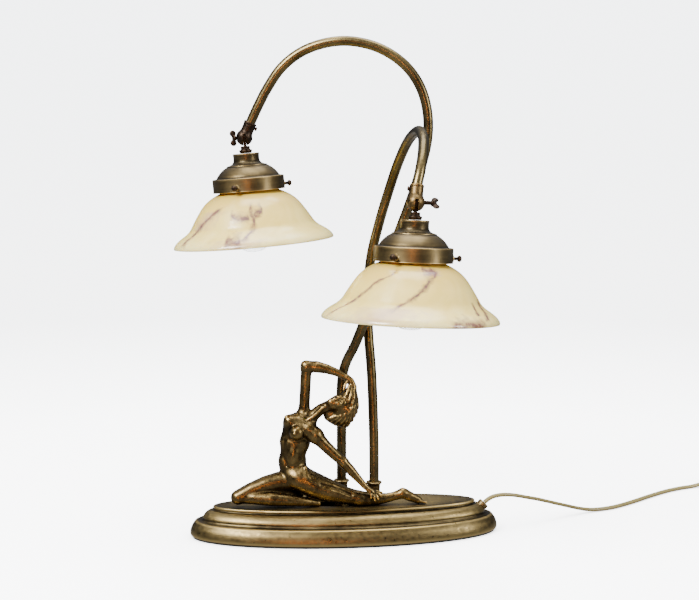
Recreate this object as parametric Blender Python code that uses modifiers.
"""Table lamp with two curved brass arms, a cast oval base and a cast bronze dancer.

Frame: metres, +Z up, +X along the base's long axis towards the cable end.
The origin is the centre of the felt's underside, where the lamp stands.
"""
import math

import bmesh
import bpy
from mathutils import Euler, Matrix, Vector

MM = 0.001
GAP = 0.3                       # clearance between pieces that touch, mm

# Base, mm: half axes of its ellipses and its heights
BASE_HALF_LENGTH = 157.5
BASE_HALF_DEPTH = 60.7
DEPTH_INSET_RATIO = 1.10        # the ends are a little steeper than the sides
FELT_THICKNESS = 1.7
FELT_INSET = 2.5
BASE_TOP = 31.9
BASE_WALL = 3.9
BASE_SEGMENTS = 44

# Arm tubes, mm
TUBE_RADIUS = 5.0
TUBE_WALL = 1.0
LEAD_RADIUS = 1.3
SOCKET_1 = Vector((-2.2, 14.0, 0.0))
SOCKET_2 = Vector((30.0, 2.0, 0.0))
TUBE_SPACING = 24.0             # about this far between the rings of a tube
TUBE_FOOT = 22.0                # the tubes end below the base's top plate
COLLAR_TOP = 52.0

# Heads: pivot of each knuckle, roll and lean of its shade, mm and degrees
PIVOT_1 = Vector((-98.6, 36.0, 401.8))
PIVOT_2 = Vector((50.8, -131.1, 341.0))
ROLL_1 = -4.8
ROLL_2 = 2.6
LEAN_1 = 0.0
LEAN_2 = -1.9
BARREL_UP_1 = Vector((0.390, -0.076, 0.918)).normalized()
BARREL_UP_2 = Vector((0.120, 0.300, 0.946)).normalized()
TUBE_END = 8.2                  # from the pivot to the tube's end, inside the barrel
BARREL_TOP = 16.5
BARREL_RADIUS = 6.4
GRUB_HEIGHT = 12.3              # of the barrel's grub screw above the pivot
BALL_RADIUS = 8.4
SLOT_HALF = 1.6
TONGUE_HALF = 1.3
TONGUE_RADIUS = 6.4
PIN_RADIUS = 2.0
PIN_TIP = 7.8                   # the pin ends inside the ball, this far past its centre
WING_REACH_1 = 11.4             # from the pivot to the middle of the wings
WING_REACH_2 = 18.4
WING_TURN_1 = 90.0              # degrees: the wings stand upright on head 1
WING_TURN_2 = 38.0
WING_SPREAD = 4.6
WING_HALF = 1.2
NIPPLE_RADIUS = 4.9
GALLERY_RADIUS = 36.4
GALLERY_WALL = 1.2
THUMB_SCREW_Z = -49.5
THUMB_SCREW_COUNT = 3
THUMB_SCREW_START_1 = 8.0       # azimuth of the first thumb screw, degrees
THUMB_SCREW_START_2 = -4.0

# Cable gland on the base's right end, and the flex, mm
GLAND_FOOT = Vector((139.5, 0.0, 22.4))
GLAND_SLOPE = 45.0
GLAND_LENGTH = 7.0
CORD_RADIUS = 1.6               # half the thickness of the flat twin flex
CORD_REST = 1.9                 # height of its centre where it lies on the table
SWITCH_CENTRE = Vector((480.0, 157.0, 0.0))
SWITCH_HEADING = 12.0
SWITCH_SIZE = (62.0, 26.0, 16.0)
ROCKER_TILT = 8.0
COIL_CENTRE = Vector((547.0, 127.5, 0.0))
COIL_INNER = 20.5
COIL_OUTER = 37.5
COIL_HEIGHT = 10.8
PLUG_ENTRY = Vector((510.0, 89.5, 0.0))
PLUG_SIZE = (36.0, 35.0, 13.7)
PIN_SPACING = 18.6

# Routes, mm: points joined by one smooth curve
ARM_1_ROUTE = [
    (-2.2, 14.0, TUBE_FOOT), (-2.2, 14.0, 60.0), (-2.2, 14.0, 110.0), (-2.2, 14.0, 150.0),
    (1.8, 13.0, 172.0), (11.0, 10.8, 191.5), (19.2, 8.8, 212.4), (36.0, 4.7, 258.5),
    (54.8, 0.1, 308.1), (67.5, -3.0, 343.5), (76.4, -5.1, 374.1), (81.8, -6.5, 400.0),
    (81.9, -6.5, 424.0), (76.4, -5.2, 447.0), (65.2, -2.4, 466.5), (49.0, 1.6, 481.5),
    (28.5, 6.6, 492.0), (4.0, 12.6, 496.9), (-20.0, 18.4, 494.6), (-42.7, 23.9, 485.9),
    (-61.5, 28.5, 470.8), (-75.2, 31.8, 451.0), (-84.8, 33.4, 432.8),
]
ARM_2_ROUTE = [
    (30.0, 2.0, TUBE_FOOT), (30.0, 2.0, 54.0), (29.9, 4.5, 100.0), (28.6, 12.0, 160.0),
    (26.2, 18.5, 200.0), (25.6, 21.5, 230.0), (28.2, 22.0, 275.6), (36.5, 20.5, 313.3),
    (46.4, 15.5, 349.0), (54.2, 0.5, 378.0), (60.2, -25.0, 398.4), (64.6, -56.1, 406.8),
    (64.5, -86.0, 400.3), (60.9, -108.4, 385.4), (56.5, -121.1, 369.7),
]
FLEX_ROUTE = [
    (151.9, 0.4, 32.4), (160.6, 1.5, 34.2), (170.5, 3.8, 33.8), (181.0, 7.8, 31.6),
    (193.0, 13.2, 28.0), (207.5, 20.2, 23.6), (225.0, 29.0, 17.4), (240.5, 36.8, 12.0),
    (254.0, 43.2, 7.4), (266.0, 48.4, 4.0), (276.0, 52.0, 2.4), (287.0, 55.8, CORD_REST),
    (299.5, 61.0, CORD_REST), (315.0, 71.2, CORD_REST), (333.0, 85.2, CORD_REST),
    (351.0, 100.5, CORD_REST), (369.4, 115.2, CORD_REST), (387.0, 127.8, CORD_REST),
    (404.4, 137.4, CORD_REST), (420.0, 143.4, 2.1), (434.0, 146.6, 4.4),
]

# Figure, mm: centre and radius of the balls that its limbs run through
TORSO = [(-47, -5, 54, 15), (-51, -4, 66, 14), (-55, -4, 79, 11.6), (-55, -5, 91, 12.4),
         (-50, -7, 103, 13.2), (-44, -6, 114, 11), (-33, -7, 119, 6), (-23, -8, 127, 5.4),
         (-11, -9.5, 133, 10.5)]
SHOULDERS = [(-30, -14, 104, 6.6), (-40, -8, 113, 8), (-40, 2, 125, 6.4)]
RAISED_ARM = [(-40, 2, 125, 6.2), (-42, 3, 141, 5.8), (-42, 3, 158, 6), (-39.5, 2, 171, 6),
              (-23, 1, 171, 5.8), (-8, -1, 167.3, 4.3), (2, -3, 162.4, 3.6),
              (7.6, -5, 156.6, 3.9), (7.4, -6, 147, 4)]
NEAR_ARM = [(-30, -14, 104, 6.6), (-20, -17, 92.5, 5.9), (-8, -20, 81, 5), (2, -21.5, 70, 4.6),
            (14, -22, 57, 3.4), (21, -22, 49, 3.8), (27, -21, 44, 3)]
BENT_LEG = [(-52, -5, 55, 13), (-68, -7, 55.5, 11.6), (-86, -9, 51.5, 9.8), (-108.5, -9.5, 42.6, 7.8),
            (-90, -15, 39.2, 6.6), (-64, -18, 38.4, 6.2), (-40, -16, 37, 5)]
LONG_LEG = [(-44, -7, 57, 15), (-33, -10, 52.8, 14.5), (-15, -13, 46.8, 12.2), (2.5, -15, 41.6, 9.2),
            (18, -16, 40.4, 8.2), (38, -16, 38.6, 6), (51, -15.5, 40.6, 4.6), (58, -15, 46, 4.8),
            (69, -15.5, 41.5, 4.4), (79, -16, 36, 3)]
HAIR = [(-11, -9.5, 133, 10.5), (-1, -9, 137.5, 10), (2, -9, 126, 8), (-1, -8.5, 117.5, 5)]
FIGURE_VOXEL = 1.6
FIGURE_KEEP = 0.058             # share of the faces that the figure keeps
FIGURE_UNDERSIDE = BASE_TOP + GAP


def new_collection(name):
    """Add a collection to the scene."""
    collection = bpy.data.collections.new(name)
    bpy.context.scene.collection.children.link(collection)
    return collection


def paint(name, colour, roughness, metallic=0.0, alpha=1.0):
    """Return a plain Principled material."""
    material = bpy.data.materials.new(name)
    material.use_nodes = True
    shader = material.node_tree.nodes["Principled BSDF"]
    shader.inputs["Base Color"].default_value = (*colour, 1.0)
    shader.inputs["Roughness"].default_value = roughness
    shader.inputs["Metallic"].default_value = metallic
    shader.inputs["Alpha"].default_value = alpha
    return material


def add(name, mesh, material, where=None):
    """Put a mesh in the lamp's collection as a named object."""
    piece = bpy.data.objects.new(name, mesh)
    lamp.objects.link(piece)
    if where is not None:
        piece.matrix_world = where
    piece.data.materials.clear()
    piece.data.materials.append(material)
    piece.data.shade_smooth()
    piece.data.set_sharp_from_angle(angle=math.radians(35))
    return piece


def mesh_from(bm):
    """Turn a bmesh into a mesh and free it."""
    mesh = bpy.data.meshes.new("shape")
    bm.to_mesh(mesh)
    bm.free()
    return mesh


def along(start, direction):
    """Matrix that puts the local origin at start (mm) and turns local +Z along direction."""
    turn = Vector(direction).to_track_quat("Z", "Y").to_matrix().to_4x4()
    return Matrix.Translation(Vector(start) * MM) @ turn


def turned(profile, steps=24):
    """Mesh turned about Z from a profile of (radius, height) in mm.

    A profile that starts and ends on the axis closes itself; any other is a closed loop.
    """
    bm = bmesh.new()
    points = [bm.verts.new((r * MM, 0, z * MM)) for r, z in profile]
    pairs = list(zip(points, points[1:]))
    if profile[0][0] > 0:
        pairs.append((points[-1], points[0]))
    for first, second in pairs:
        if first.co.x > 0 or second.co.x > 0:       # nothing is turned from the axis itself
            bm.edges.new((first, second))
    bmesh.ops.spin(bm, geom=bm.verts[:] + bm.edges[:], cent=(0, 0, 0), axis=(0, 0, 1),
                   angle=math.tau, steps=steps, use_merge=True, use_duplicate=False)
    bmesh.ops.remove_doubles(bm, verts=bm.verts, dist=1e-6)
    bmesh.ops.recalc_face_normals(bm, faces=bm.faces)
    return mesh_from(bm)


def cylinder(radius, low, high, sides=20):
    """Mesh of a capped cylinder or prism about Z, from height low to high, mm."""
    bm = bmesh.new()
    bmesh.ops.create_cone(bm, cap_ends=True, segments=sides, radius1=radius * MM,
                          radius2=radius * MM, depth=(high - low) * MM)
    bmesh.ops.translate(bm, vec=(0, 0, (low + high) / 2 * MM), verts=bm.verts)
    return mesh_from(bm)


def block(low, high, round_off=0.0):
    """Mesh of a box between two corners in mm, with its edges rounded off."""
    bm = bmesh.new()
    bmesh.ops.create_cube(bm, size=1.0)
    for vertex in bm.verts:
        vertex.co = Vector([(low[i] if vertex.co[i] < 0 else high[i]) * MM for i in range(3)])
    if round_off:
        bmesh.ops.bevel(bm, geom=bm.edges[:], offset=round_off * MM, segments=2,
                        profile=0.5, affect="EDGES")
    return mesh_from(bm)


def ball(radius, segments=16, rings=10):
    """Mesh of a sphere in mm."""
    bm = bmesh.new()
    bmesh.ops.create_uvsphere(bm, u_segments=segments, v_segments=rings, radius=radius * MM)
    return mesh_from(bm)


def tool(mesh, where):
    """Hidden object that cuts or joins another."""
    shape = bpy.data.objects.new("tool", mesh)
    tools.objects.link(shape)
    shape.matrix_world = where
    shape.hide_render = True
    shape.display_type = "WIRE"
    return shape


def combine(piece, operation, *shapes):
    """Cut from or join to a piece each (mesh, matrix) given, and apply it."""
    for mesh, where in shapes:
        modifier = piece.modifiers.new(operation.lower(), "BOOLEAN")
        modifier.operation = operation
        modifier.object = tool(mesh, where)
        bpy.context.view_layer.update()
        evaluated = piece.evaluated_get(bpy.context.evaluated_depsgraph_get())
        result = bpy.data.meshes.new_from_object(evaluated)
        piece.modifiers.clear()
        piece.data = result
    return piece


def smooth_route(points, spacing, start=None, end=None):
    """Points about every spacing mm along a smooth curve through the given ones.

    start and end are directions that the curve leaves and arrives in.
    """
    knots = [Vector(p) for p in points]
    before = knots[0] - (start or (knots[1] - knots[0]).normalized()) * (knots[1] - knots[0]).length
    after = knots[-1] + (end or (knots[-1] - knots[-2]).normalized()) * (knots[-1] - knots[-2]).length
    knots = [before] + knots + [after]
    route = []
    for a, b, c, d in zip(knots, knots[1:], knots[2:], knots[3:]):
        count = max(1, round((c - b).length / spacing))
        for step in range(count):
            t = step / count
            route.append(0.5 * (2 * b + (c - a) * t + (2 * a - 5 * b + 4 * c - d) * t ** 2
                                + (3 * b - a - 3 * c + d) * t ** 3))
    return route + [knots[-2]]


def bent_rod(name, route, radius, resolution, material, caps=True):
    """Curve object: a round rod along a route in mm."""
    curve = bpy.data.curves.new(name, "CURVE")
    curve.dimensions = "3D"
    curve.bevel_depth = radius * MM
    curve.bevel_resolution = resolution
    curve.use_fill_caps = caps
    spline = curve.splines.new("POLY")
    spline.points.add(len(route) - 1)
    for point, place in zip(spline.points, route):
        point.co = (*(place * MM), 1.0)
    rod = bpy.data.objects.new(name, curve)
    lamp.objects.link(rod)
    curve.materials.append(material)
    return rod


def hollow_tube(name, route, material):
    """Bent tube with a wall, from the open skin of a bent rod."""
    skin = bent_rod(name + "_skin", route, TUBE_RADIUS, 3, material, caps=False)
    bpy.context.view_layer.update()
    mesh = bpy.data.meshes.new_from_object(skin.evaluated_get(bpy.context.evaluated_depsgraph_get()))
    bpy.data.objects.remove(skin)
    tube = add(name, mesh, material)
    wall = tube.modifiers.new("wall", "SOLIDIFY")
    wall.thickness = TUBE_WALL * MM
    wall.offset = -1.0
    return tube


def ellipse(inset, height):
    """Ring of points on one of the base's ellipses, mm."""
    ring = []
    for k in range(BASE_SEGMENTS):
        angle = math.tau * k / BASE_SEGMENTS
        ring.append(Vector(((BASE_HALF_LENGTH - inset) * math.cos(angle),
                            (BASE_HALF_DEPTH - DEPTH_INSET_RATIO * inset) * math.sin(angle),
                            height)) * MM)
    return ring


def loft(rings, closed_ends=True):
    """Closed mesh through rings of equal count; the first and last are capped."""
    bm = bmesh.new()
    loops = [[bm.verts.new(p) for p in ring] for ring in rings]
    for lower, upper in zip(loops, loops[1:]):
        for k in range(len(lower)):
            following = (k + 1) % len(lower)
            bm.faces.new((lower[k], lower[following], upper[following], upper[k]))
    if closed_ends:
        bm.faces.new(loops[0][::-1])
        bm.faces.new(loops[-1])
    bmesh.ops.recalc_face_normals(bm, faces=bm.faces)
    return mesh_from(bm)


def head_frame(pivot, roll, lean):
    """Matrix of a head: origin at its pivot, X along the hinge, Z up along the shade's axis."""
    turn = Euler((math.radians(lean), math.radians(roll), 0.0), "XYZ").to_matrix().to_4x4()
    return Matrix.Translation(pivot * MM) @ turn


def make_base():
    """Hollow cast base on its felt, with the holes for the arms and the gland."""
    add("felt_pad", loft([ellipse(FELT_INSET, 0.0), ellipse(FELT_INSET, FELT_THICKNESS)]), felt)
    low = FELT_THICKNESS + GAP
    outer = [(0.8, low), (0.0, 4.5), (0.8, 9.5), (4.2, 14.6), (8.2, 17.0), (12.4, 18.4),
             (14.8, 20.8), (17.4, 24.4), (22.0, 27.4), (23.6, 29.0), (24.2, 30.4), (25.4, BASE_TOP)]
    inner = [(28.5, BASE_TOP - BASE_WALL), (20.5, 20.0), (10.0, 12.0), (5.0, low)]
    rings = [ellipse(*station) for station in outer + inner]
    base = add("base_casting", loft(rings + [rings[0]], closed_ends=False), bronze)
    bm = bmesh.new()
    bm.from_mesh(base.data)
    bmesh.ops.remove_doubles(bm, verts=bm.verts, dist=1e-7)
    # the loft joins the top plate's outer and inner rim: take that wall out and cap both
    rim = [f for f in bm.faces if max(v.co.z for v in f.verts) > (BASE_TOP - 0.01) * MM
           and min(v.co.z for v in f.verts) < (BASE_TOP - 2.0) * MM]
    bmesh.ops.delete(bm, geom=rim, context="FACES_ONLY")
    bmesh.ops.holes_fill(bm, edges=[e for e in bm.edges if e.is_boundary], sides=0)
    bmesh.ops.recalc_face_normals(bm, faces=bm.faces)
    bm.to_mesh(base.data)
    bm.free()
    hole = TUBE_RADIUS + GAP
    gland = along(GLAND_FOOT, gland_axis)
    combine(base, "DIFFERENCE",
            (cylinder(hole, 20, 40, 16), Matrix.Translation(SOCKET_1 * MM)),
            (cylinder(hole, 20, 40, 16), Matrix.Translation(SOCKET_2 * MM)),
            (cylinder(4.0 + GAP, -14, 12, 16), gland),
            (cylinder(6.2 + GAP, 0.0, 12, 16), gland))


def make_gland():
    """Cable gland through the sloping end of the base, and its nut inside."""
    where = along(GLAND_FOOT, gland_axis)
    body = [(2.9, GLAND_LENGTH), (5.2, GLAND_LENGTH), (5.8, GLAND_LENGTH - 0.6), (5.8, 2.4),
            (6.2, 2.0), (6.2, GAP), (4.0, GAP), (4.0, -10.0), (2.9, -10.0)]
    add("cable_gland", turned(body, 16), brass, where)
    nut = add("gland_nut", cylinder(6.2, -9.4, -7.0, 6), brass, where)
    combine(nut, "DIFFERENCE", (cylinder(4.0 + GAP, -12, 0, 12), where))


def make_terminal_block():
    """Connector block in the base where the flex meets the arms' leads."""
    add("terminal_block", block((68, -8, 3.0), (94, 8, 12.0), 1.0), plastic)


def make_arm(number, socket, route, pivot, barrel_up):
    """Collar, tube, lock nut and inner lead of one arm."""
    place = Matrix.Translation(socket * MM)
    foot = BASE_TOP + GAP
    bore = TUBE_RADIUS + GAP
    collar = [(bore, COLLAR_TOP), (7.8, COLLAR_TOP - 0.3), (7.8, COLLAR_TOP - 2.0),
              (6.2, COLLAR_TOP - 3.8), (6.2, foot + 3.4), (8.6, foot + 1.8), (8.6, foot),
              (bore, foot)]
    add(f"arm_{number}_collar", turned(collar, 16), brass, place)
    nut_top = BASE_TOP - BASE_WALL - GAP
    nut = add(f"arm_{number}_lock_nut", cylinder(8.0, nut_top - 3.0, nut_top, 6), brass, place)
    combine(nut, "DIFFERENCE", (cylinder(bore, 10, 40, 12), place))
    whole = route + [tuple(pivot + barrel_up * BARREL_TOP), tuple(pivot + barrel_up * TUBE_END)]
    path = smooth_route(whole, TUBE_SPACING, start=Vector((0, 0, 1)), end=-barrel_up)
    hollow_tube(f"arm_{number}_tube", path, brass)
    bent_rod(f"arm_{number}_lead", path[:-1], LEAD_RADIUS, 1, plastic)


def make_knuckle(number, frame, barrel_up, side):
    """Fixed half of a knuckle: barrel on the tube, slotted ball, and its grub screw."""
    up = frame.to_3x3().inverted() @ barrel_up
    barrel = frame @ along((0, 0, 0), up)
    cross = frame @ along((0, 0, 0), (1, 0, 0))
    body = add(f"knuckle_{number}_body", ball(BALL_RADIUS), dark_bronze, frame)
    collar = cylinder(BARREL_RADIUS, 3.0, BARREL_TOP, 16)
    slot_roof = cylinder(TONGUE_RADIUS + GAP, -SLOT_HALF, SLOT_HALF, 16)
    combine(body, "UNION", (collar, barrel))
    outward = frame.to_3x3() @ Vector((-side, 0, 0))
    outward = (outward - outward.dot(barrel_up) * barrel_up).normalized()
    grub_place = along(frame.translation / MM + barrel_up * GRUB_HEIGHT, outward)
    combine(body, "DIFFERENCE",
            (cylinder(TUBE_RADIUS + GAP, TUBE_END - 0.4, 30, 16), barrel),
            (slot_roof, cross),
            (block((-SLOT_HALF, -12, -12), (SLOT_HALF, 12, 3.0)), frame),
            (cylinder(PIN_RADIUS + GAP, -12, 12, 12), cross),
            (cylinder(1.4 + GAP, 0, 12, 10), grub_place))
    grub = [(0, 8.6), (1.8, 8.6), (2.2, 8.1), (2.2, 6.9), (1.4, 6.9), (1.4, 5.4), (0, 5.4)]
    add(f"knuckle_{number}_grub_screw", turned(grub, 10), dark_bronze, grub_place)


def make_wing_screw(number, frame, side, reach, turn):
    """Wing screw on the hinge's axis: shank, hub and two wings."""
    place = frame @ along((0, 0, 0), (side, 0, 0)) @ Matrix.Rotation(math.radians(turn), 4, "Z")
    hub_foot = max(BALL_RADIUS + GAP, reach - 4.0)
    profile = [(0, reach - 0.6), (2.8, reach - 0.6), (3.5, reach - 1.6), (3.5, hub_foot),
               (PIN_RADIUS, hub_foot), (PIN_RADIUS, -PIN_TIP), (0, -PIN_TIP)]
    screw = add(f"wing_screw_{number}", turned(profile, 12), dark_bronze, place)
    for end in (-WING_SPREAD, WING_SPREAD):
        lobe = place @ Matrix.Translation(Vector((end, 0, reach)) * MM)
        lobe = lobe @ Matrix.Rotation(math.radians(90), 4, "X")
        combine(screw, "UNION", (cylinder(3.4, -WING_HALF, WING_HALF, 14), lobe))
    bar = block((-WING_SPREAD, 0.05 - WING_HALF, reach - 2.2),
                (WING_SPREAD, WING_HALF - 0.05, reach + 2.0))
    combine(screw, "UNION", (bar, place))


def make_head(number, frame, first_screw):
    """Everything that hangs from one pivot."""
    across = frame @ along((0, 0, 0), (1, 0, 0))
    stem_profile = [(0, -8.8), (4.7, -8.8), (4.7, -12.2), (6.6, -12.8), (6.6, -15.0), (6.2, -15.7),
                    (NIPPLE_RADIUS, -15.7), (NIPPLE_RADIUS, -32.5), (0, -32.5)]
    stem = add(f"swivel_{number}_stem", turned(stem_profile, 16), dark_bronze, frame)
    combine(stem, "UNION",
            (cylinder(TONGUE_RADIUS, -TONGUE_HALF, TONGUE_HALF, 16), across),
            (block((-TONGUE_HALF, -3.8, -9.6), (TONGUE_HALF, 3.8, -2.0)), frame))
    combine(stem, "DIFFERENCE", (cylinder(PIN_RADIUS + GAP, -12, 12, 12), across))

    wall = GALLERY_WALL
    outer = [(5.2, -16.0), (13.2, -16.0), (13.3, -23.0), (14.6, -25.6), (20.5, -28.0),
             (24.6, -30.8), (28.9, -35.0), (32.4, -40.0), (GALLERY_RADIUS, -40.4),
             (GALLERY_RADIUS, -54.0)]
    inner = [(GALLERY_RADIUS - wall, -54.0), (GALLERY_RADIUS - wall, -41.6), (31.6, -41.2),
             (27.9, -35.9), (23.8, -32.0), (13.4, -26.6), (12.0, -23.4), (12.0, -17.3),
             (5.2, -17.3)]
    gallery = add(f"gallery_{number}", turned(outer + inner, 26), aged_brass, frame)
    add(f"gallery_{number}_ring_nut",
        turned([(5.2, -17.6), (8.0, -17.6), (8.0, -20.6), (5.2, -20.6)], 12), brass, frame)

    thumb = [(0, 44.4), (2.2, 43.8), (2.9, 41.8), (1.4, 39.2), (1.4, 30.4), (0, 30.4)]
    for k in range(THUMB_SCREW_COUNT):
        angle = math.radians(first_screw + 360.0 * k / THUMB_SCREW_COUNT)
        outward = Vector((math.cos(angle), math.sin(angle), 0))
        place = frame @ along((0, 0, THUMB_SCREW_Z), outward)
        combine(gallery, "DIFFERENCE", (cylinder(1.4 + GAP, 32, 40, 10), place))
        add(f"thumb_screw_{number}{'abc'[k]}", turned(thumb, 10), dark_bronze, place)

    shade_outer = [(31.8, -42.2), (31.8, -45.4), (28.8, -47.0), (28.8, -53.8), (35.8, -57.4),
                   (42.9, -62.0), (49.0, -68.2), (55.6, -77.4), (61.8, -87.2), (66.6, -93.0),
                   (79.0, -102.2), (81.5, -107.2)]
    shade_inner = [(79.8, -107.4), (76.4, -103.4), (64.6, -95.8), (59.0, -89.6), (52.6, -79.6),
                   (46.2, -70.6), (40.6, -65.0), (26.0, -56.4), (26.0, -42.2)]
    add(f"glass_shade_{number}", turned(shade_outer + shade_inner, 30), cream_glass, frame)

    holder = [(5.2, -28.4), (9.0, -28.4), (13.6, -33.0), (14.0, -38.0), (14.0, -59.6), (13.0, -60.4),
              (7.4, -60.4), (7.4, -39.0), (5.2, -38.0)]
    add(f"lampholder_{number}", turned(holder, 16), plastic, frame)
    cap = [(0, -39.8), (2.4, -39.8), (3.2, -42.0), (6.9, -44.0), (6.9, -61.6), (0, -61.6)]
    add(f"bulb_{number}_cap", turned(cap, 14), steel, frame)
    bulb_outer = [(6.6, -61.9), (7.6, -66.0), (12.4, -73.0), (17.2, -82.0), (19.4, -92.0),
                  (18.4, -102.5), (14.2, -111.0), (7.0, -115.5), (0, -116.3)]
    bulb_inner = [(0, -115.4), (6.6, -114.6), (13.4, -110.4), (17.4, -102.2), (18.5, -92.1),
                  (16.4, -82.3), (11.6, -73.5), (6.8, -66.3), (5.8, -61.9)]
    add(f"bulb_{number}_glass", turned(bulb_outer + bulb_inner, 16), bulb_glass, frame)


def limb(points):
    """Closed pieces, a ball at each point and a cone between neighbours, in one bmesh."""
    bm = bmesh.new()
    for x, y, z, r in points:
        bmesh.ops.create_icosphere(bm, subdivisions=3, radius=r * MM,
                                   matrix=Matrix.Translation(Vector((x, y, z)) * MM))
    for (*a, ra), (*b, rb) in zip(points, points[1:]):
        a, b = Vector(a), Vector(b)
        middle = along((a + b) / 2, b - a)
        bmesh.ops.create_cone(bm, cap_ends=True, segments=24, radius1=ra * MM, radius2=rb * MM,
                              depth=(b - a).length * MM, matrix=middle)
    return bm


def make_figure():
    """Cast dancer, one skin over all her limbs, flat where she stands on the base."""
    bm = bmesh.new()
    for points in (TORSO, SHOULDERS, RAISED_ARM, NEAR_ARM, BENT_LEG, LONG_LEG, HAIR):
        part = mesh_from(limb(points))
        bm.from_mesh(part)
    figure = add("dancer_figure", mesh_from(bm), bronze)
    skin = figure.modifiers.new("skin", "REMESH")
    skin.mode = "VOXEL"
    skin.voxel_size = FIGURE_VOXEL * MM
    blend = figure.modifiers.new("blend", "SMOOTH")
    blend.factor = 0.5
    blend.iterations = 3
    fewer = figure.modifiers.new("fewer", "DECIMATE")
    fewer.ratio = FIGURE_KEEP
    bpy.context.view_layer.update()
    evaluated = figure.evaluated_get(bpy.context.evaluated_depsgraph_get())
    mesh = bpy.data.meshes.new_from_object(evaluated)
    figure.modifiers.clear()
    figure.data = mesh
    under = block((-200, -60, 0), (120, 60, FIGURE_UNDERSIDE))
    combine(figure, "DIFFERENCE", (under, Matrix.Identity(4)))


def flat_heading(degrees):
    """Unit vector on the table."""
    return Vector((math.cos(math.radians(degrees)), math.sin(math.radians(degrees)), 0))


def make_flex():
    """Flex from the gland to the switch, on to the coil, and from the coil to the plug."""
    heading = flat_heading(SWITCH_HEADING)
    half_length, _, height = SWITCH_SIZE[0] / 2, SWITCH_SIZE[1], SWITCH_SIZE[2]
    lift = Vector((0, 0, height / 2))
    start = GLAND_FOOT + gland_axis * (GLAND_LENGTH + GAP)
    entry = SWITCH_CENTRE - heading * (half_length + GAP) + lift
    lead_in = [tuple(start)] + FLEX_ROUTE + [tuple(entry)]
    bent_rod("cord_lead", smooth_route(lead_in, 10.5, start=gland_axis, end=heading),
             CORD_RADIUS, 2, gold_flex)

    leave = SWITCH_CENTRE + heading * (half_length + GAP) + lift
    beside = COIL_OUTER + GAP + CORD_RADIUS + 0.1
    reach_coil = COIL_CENTRE + Vector((-4.0, beside + 0.3, CORD_REST))
    middle = (leave + reach_coil) / 2 + Vector((0.0, 0.6, -1.0))
    bent_rod("cord_link", smooth_route([tuple(leave), tuple(middle), tuple(reach_coil)], 8,
                                       start=heading, end=Vector((1, 0, 0))),
             CORD_RADIUS, 2, gold_flex)

    ring = [(COIL_OUTER, COIL_HEIGHT - 2.0), (COIL_OUTER, 2.2), (COIL_OUTER - 2, 0.2),
            (COIL_INNER + 2, 0.2), (COIL_INNER, 2.2), (COIL_INNER, COIL_HEIGHT - 2.0),
            (COIL_INNER + 2, COIL_HEIGHT), (COIL_OUTER - 2, COIL_HEIGHT)]
    add("cord_coil", turned(ring, 24), gold_flex, Matrix.Translation(COIL_CENTRE * MM))

    tail_start = COIL_CENTRE + Vector((-2.0, -beside - 0.3, CORD_REST))
    into_plug = PLUG_ENTRY + Vector((GAP, 0, PLUG_SIZE[2] / 2))
    tail_middle = (tail_start + into_plug) / 2 + Vector((0.0, -0.6, -0.8))
    bent_rod("cord_tail", smooth_route([tuple(tail_start), tuple(tail_middle), tuple(into_plug)], 8,
                                       start=Vector((-1, 0, 0)), end=Vector((-1, 0, 0))),
             CORD_RADIUS, 2, gold_flex)


def make_switch():
    """Inline switch on the flex with its rocker, tilted to one side."""
    length, width, height = SWITCH_SIZE
    place = Matrix.Translation(SWITCH_CENTRE * MM) @ Matrix.Rotation(math.radians(SWITCH_HEADING), 4, "Z")
    body = add("switch_body", block((-length / 2, -width / 2, 0), (length / 2, width / 2, height), 3.0),
               gold_flex, place)
    combine(body, "DIFFERENCE",
            (block((-10.4, -6.4, height - 6.5), (10.4, 6.4, height + 5)), place))
    pivot = place @ Matrix.Translation(Vector((0, 0, height - 2.0)) * MM)
    pivot = pivot @ Matrix.Rotation(math.radians(ROCKER_TILT), 4, "Y")
    add("switch_rocker", block((-9.4, -5.9, -1.8), (9.4, 5.9, 3.2), 0.8), plastic, pivot)


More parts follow.
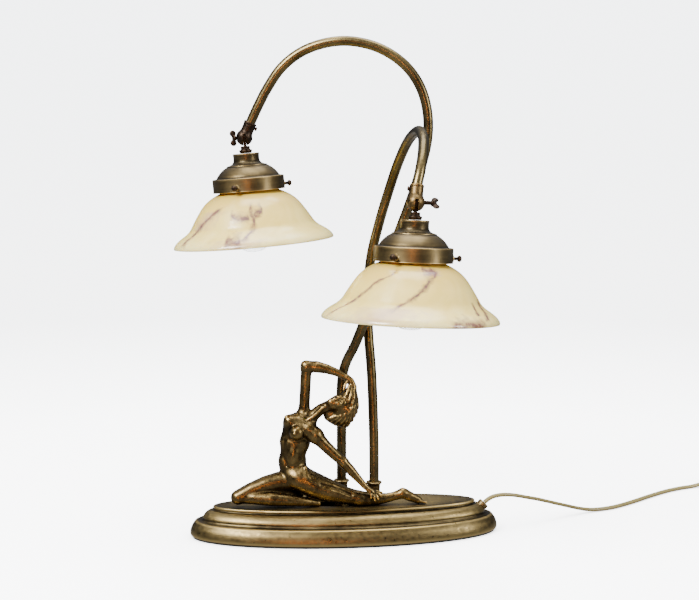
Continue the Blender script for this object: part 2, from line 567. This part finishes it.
def make_plug():
    """Flat two-pin plug lying beside the coil."""
    length, width, height = PLUG_SIZE
    place = Matrix.Translation(PLUG_ENTRY * MM)
    body = add("plug_body", block((-length, -width / 2, 0), (0, width / 2, height), 2.5),
               gold_flex, place)
    for side in (-1, 1):
        low, high = sorted((side * 9.0, side * 30.0))
        turn = Matrix.Rotation(math.radians(-side * 22), 4, "Z")
        combine(body, "DIFFERENCE", (block((-22, low, -2), (12, high, height + 2)), place @ turn))
    pin_profile = [(0, 0), (2.0, 0), (2.0, 17.6), (1.2, 19.0), (0, 19.0)]
    for letter, side in zip("ab", (-1, 1)):
        foot = PLUG_ENTRY + Vector((-length - GAP, side * PIN_SPACING / 2, height / 2))
        add(f"plug_pin_{letter}", turned(pin_profile, 12), steel, along(foot, (-1, 0, 0)))


for leftover in list(bpy.data.objects):
    bpy.data.objects.remove(leftover)

lamp = new_collection("two_arm_table_lamp")
tools = new_collection("cutters")
bronze = paint("cast_bronze", (0.20, 0.135, 0.055), 0.42, 1.0)
dark_bronze = paint("dark_bronze", (0.085, 0.055, 0.035), 0.40, 1.0)
brass = paint("antique_brass", (0.30, 0.21, 0.085), 0.34, 1.0)
aged_brass = paint("brushed_aged_brass", (0.20, 0.15, 0.075), 0.42, 1.0)
cream_glass = paint("marbled_cream_glass", (0.86, 0.74, 0.48), 0.22)
bulb_glass = paint("bulb_glass", (0.92, 0.93, 0.92), 0.08, 0.0, 0.35)
steel = paint("plated_steel", (0.62, 0.61, 0.58), 0.28, 1.0)
plastic = paint("black_plastic", (0.03, 0.03, 0.032), 0.45)
gold_flex = paint("gold_flex", (0.36, 0.29, 0.13), 0.5)
felt = paint("black_felt", (0.015, 0.015, 0.016), 0.95)

gland_axis = Vector((math.cos(math.radians(GLAND_SLOPE)), 0, math.sin(math.radians(GLAND_SLOPE))))
head_1 = head_frame(PIVOT_1, ROLL_1, LEAN_1)
head_2 = head_frame(PIVOT_2, ROLL_2, LEAN_2)

make_base()
make_gland()
make_terminal_block()
make_figure()
make_arm(1, SOCKET_1, ARM_1_ROUTE, PIVOT_1, BARREL_UP_1)
make_arm(2, SOCKET_2, ARM_2_ROUTE, PIVOT_2, BARREL_UP_2)
make_knuckle(1, head_1, BARREL_UP_1, -1)
make_knuckle(2, head_2, BARREL_UP_2, 1)
make_wing_screw(1, head_1, -1, WING_REACH_1, WING_TURN_1)
make_wing_screw(2, head_2, 1, WING_REACH_2, WING_TURN_2)
make_head(1, head_1, THUMB_SCREW_START_1)
make_head(2, head_2, THUMB_SCREW_START_2)
make_switch()
make_flex()
make_plug()
